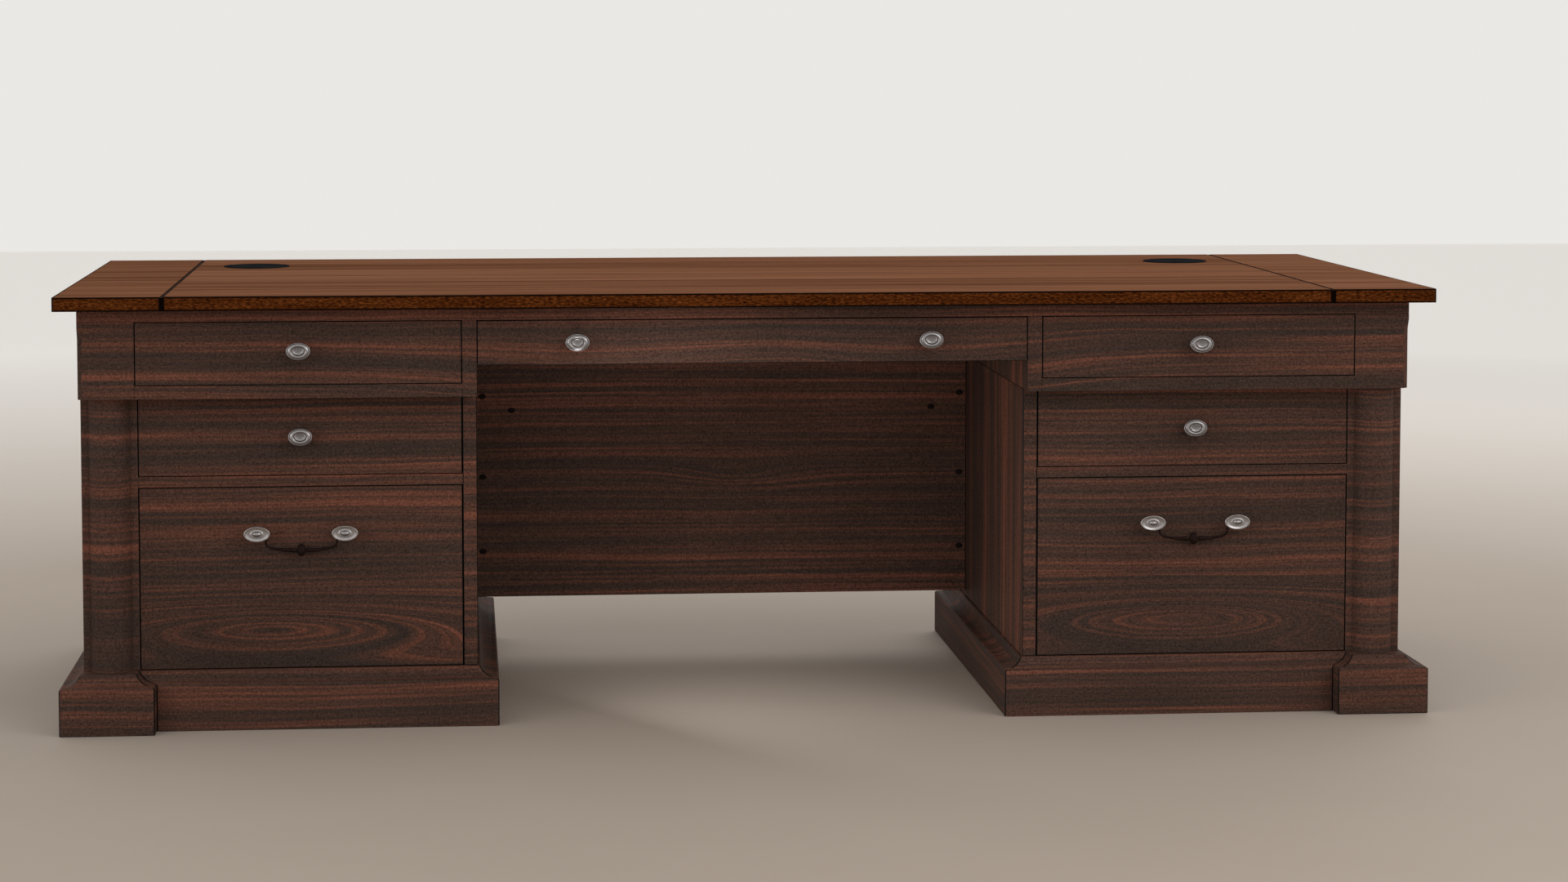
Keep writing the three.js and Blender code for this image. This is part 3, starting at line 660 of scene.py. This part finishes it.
def wire(path, steps=24):
    """A bmesh swept along (x, z) points in the plane of the bail, thick as wire_radius says."""
    bm = bmesh.new()
    rings = []
    for i, (x, z) in enumerate(path):
        before, after = path[max(i - 1, 0)], path[min(i + 1, len(path) - 1)]
        along = Vector((after[0] - before[0], 0, after[1] - before[1])).normalized()
        out = Vector((0, 1, 0))
        up = out.cross(along).normalized()
        radius = wire_radius(x)
        flat = BEAD_FLATNESS if abs(x) < BEAD_X else 1.0
        center = Vector((x, 0, z))
        ring = []
        for s in range(steps):
            a = 2 * math.pi * s / steps
            around = out * flat * math.cos(a) + up * math.sin(a)
            ring.append(bm.verts.new(center + radius * around))
        rings.append(ring)
    for a, b in zip(rings, rings[1:]):
        for s in range(steps):
            t = (s + 1) % steps
            bm.faces.new((a[s], a[t], b[t], b[s]))
    bm.faces.new(rings[0])
    bm.faces.new(rings[-1])
    return bm


def bail(side, sign):
    """A wire from pivot to pivot, with its origin on the pivots' axis."""
    node = f"bail_handle_{side}"
    pivot = (sign * DRAWER_X, middle_of(node).y, middle_of(f"bail_post_{side}_inner").z)
    left = bail_arm(BAIL_ARM)
    right = [(-x, z) for x, z in reversed(left[:-1])]
    made = object_from(node + "_cast", wire(left + right), [BAIL_METAL], pivot)
    settle(made, BODY_OF[node], "bronze", node)


for side, sign in SIDES:
    bail(side, sign)

# ---- grommets ------------------------------------------------------------------------------------------
LINER_PATH = (
    (0.0500, -0.0235), (0.0547, -0.0235), (0.0547, 0.0003), (0.0610, 0.0003), (0.0626, 0.0006),
    (0.0630, 0.0011), (0.0626, 0.0017), (0.0612, 0.0021), (0.0580, 0.0022), (0.0545, 0.0022),
    (0.0534, 0.0019), (0.0530, 0.0013), (0.0530, -0.0011), (0.0500, -0.0011), (0.0500, -0.0235),
)
CAP_RADIUS = 0.0526
NOTCH_HALF = 0.0135
NOTCH_DEPTH = 0.029


def liner(side):
    """The grommet's flanged ring, turned about its upright axis."""
    node = f"grommet_liner_{side}"
    middle = middle_of(node)
    place = (middle.x, middle.y, TOP_Z)
    bm = lathe(LINER_PATH, steps=128)
    bm.transform(Matrix.Rotation(math.radians(-90), 4, "X"))
    made = object_from(node + "_ring", bm, [PLASTIC], place)
    arris(made, 0.0003, angle=40)
    settle(made, BODY_OF[node], "black_plastic", node)


def arc(radius, height, start, end, steps):
    """Points on an arc about (0, height), from one angle to another."""
    angles = (start + (end - start) * step / steps for step in range(steps + 1))
    return [(radius * math.cos(a), height + radius * math.sin(a)) for a in angles]


def cap(side):
    """The grommet's disc, with a round-ended notch for the cables on its front edge."""
    node = f"grommet_cap_{side}"
    low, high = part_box(node)
    middle = middle_of(f"grommet_liner_{side}")
    place = (middle.x, middle.y, high.z)
    half = math.asin(NOTCH_HALF / CAP_RADIUS)
    notch_end = -(CAP_RADIUS - NOTCH_DEPTH + NOTCH_HALF)
    outline = arc(CAP_RADIUS, 0.0, half - math.pi / 2, 3 * math.pi / 2 - half, 110)
    outline += arc(NOTCH_HALF, notch_end, math.pi, 0.0, 24)
    bm = bmesh.new()
    top = [bm.verts.new((x, y, 0)) for x, y in outline]
    bottom = [bm.verts.new((x, y, low.z - high.z)) for x, y in outline]
    bm.faces.new(top)
    bm.faces.new(list(reversed(bottom)))
    for i in range(len(outline)):
        j = (i + 1) % len(outline)
        bm.faces.new((top[j], top[i], bottom[i], bottom[j]))
    made = object_from(node + "_disc", bm, [PLASTIC], place)
    arris(made, 0.0007, segments=3, angle=40)
    settle(made, BODY_OF[node], "black_plastic", node)


for side, _ in SIDES:
    liner(side)
    cap(side)

# ---- fastener caps on the modesty panel ----------------------------------------------------------------
CAP_PLASTIC = black_plastic("brown_caps", color=(0.010, 0.0068, 0.0060))
CAP_PLACES = ((0.470, 0.5065), (0.470, 0.3485), (0.470, 0.2015), (0.4135, 0.4788))
CAP_PATH = ((0.0, -0.0030), (0.0042, -0.0030), (0.0042, -0.0001), (0.0053, -0.0001), (0.0053, 0.0006),
            (0.0048, 0.0012), (0.0034, 0.0016), (0.0, 0.0018))
CAP_OVAL = 1.35


def cap_oval(out):
    return CAP_OVAL


for side, sign in SIDES:
    for index, (x, z) in enumerate(CAP_PLACES):
        made = object_from(f"fastener_cap_{side}_{index}", lathe(CAP_PATH, steps=40, oval=cap_oval),
                           [CAP_PLASTIC], (sign * x, MODESTY_FACE, z))
        settle(made, "desk", "black_plastic")

# ---- camera --------------------------------------------------------------------------------------------
camera_data = bpy.data.cameras.new("camera")
camera_data.lens = 80.87
camera_data.sensor_width = 36.0
camera_data.shift_y = -0.095
camera_data.clip_end = 100
camera = bpy.data.objects.new("camera", camera_data)
camera.location = (-0.5171, -6.5994, 1.1929)
camera.rotation_euler = (math.pi / 2 - 0.0702, 0.0, -0.0927)
bpy.context.scene.collection.objects.link(camera)
bpy.context.scene.camera = camera


# ---- studio --------------------------------------------------------------------------------------------
FLOOR_TINTS = ((0.35, (0.410, 0.349, 0.298)), (0.65, (0.424, 0.362, 0.310)))
FLOOR_FAR = (0.90, 0.885, 0.865, 1)
FLOOR_FADE = (2.0, 7.5)


def floor():
    """A pale floor that fades into the backdrop away from the desk."""
    bm = bmesh.new()
    bmesh.ops.create_grid(bm, x_segments=8, y_segments=8, size=14)
    g = Graph("studio_floor")
    soft = g.noise(g.object, scale=1.4, detail=3.0)
    near = g.ramp(soft, FLOOR_TINTS)
    x, y, _ = g.split(g.object)
    away = g.math("SQRT", g.math("ADD", g.math("MULTIPLY", x, x), g.math("MULTIPLY", y, y)))
    color = g.blend(g.fit(away, *FLOOR_FADE), near, FLOOR_FAR)
    material = g.finish(Base_Color=color, Roughness=0.7, Specular_IOR_Level=0.1)
    made = object_from("studio_floor", bm, [material], (0, 0, -0.0005))


def area(name, place, aim, size, power, color):
    data = bpy.data.lights.new(name, "AREA")
    data.shape = "RECTANGLE"
    data.size, data.size_y = size
    data.energy = power
    data.color = color
    made = bpy.data.objects.new(name, data)
    made.location = place
    made.rotation_euler = (Vector(aim) - Vector(place)).to_track_quat("-Z", "Y").to_euler()
    made.visible_camera = False
    bpy.context.scene.collection.objects.link(made)


floor()
area("key", (3.4, -4.4, 3.0), (0.8, 0, 0.5), (3.4, 2.4), 62, (1.0, 0.98, 0.96))
area("low", (-4.2, -3.8, 1.4), (0.4, 0, 0.35), (2.0, 1.2), 22, (1.0, 0.98, 0.96))
area("knee", (-0.30, -0.52, 0.38), (0.42, -0.12, 0.62), (0.3, 0.3), 1.9, (1.0, 1.0, 1.0))
area("back", (2.0, 4.6, 3.4), (0, 0, 0.5), (4.0, 2.0), 50, (1.0, 0.99, 0.97))
world = bpy.data.worlds.new("world")
world.use_nodes = True
world.node_tree.nodes["Background"].inputs["Color"].default_value = (0.92, 0.90, 0.87, 1)
world.node_tree.nodes["Background"].inputs["Strength"].default_value = 0.9
bpy.context.scene.world = world
bpy.context.scene.view_settings.view_transform = "Standard"
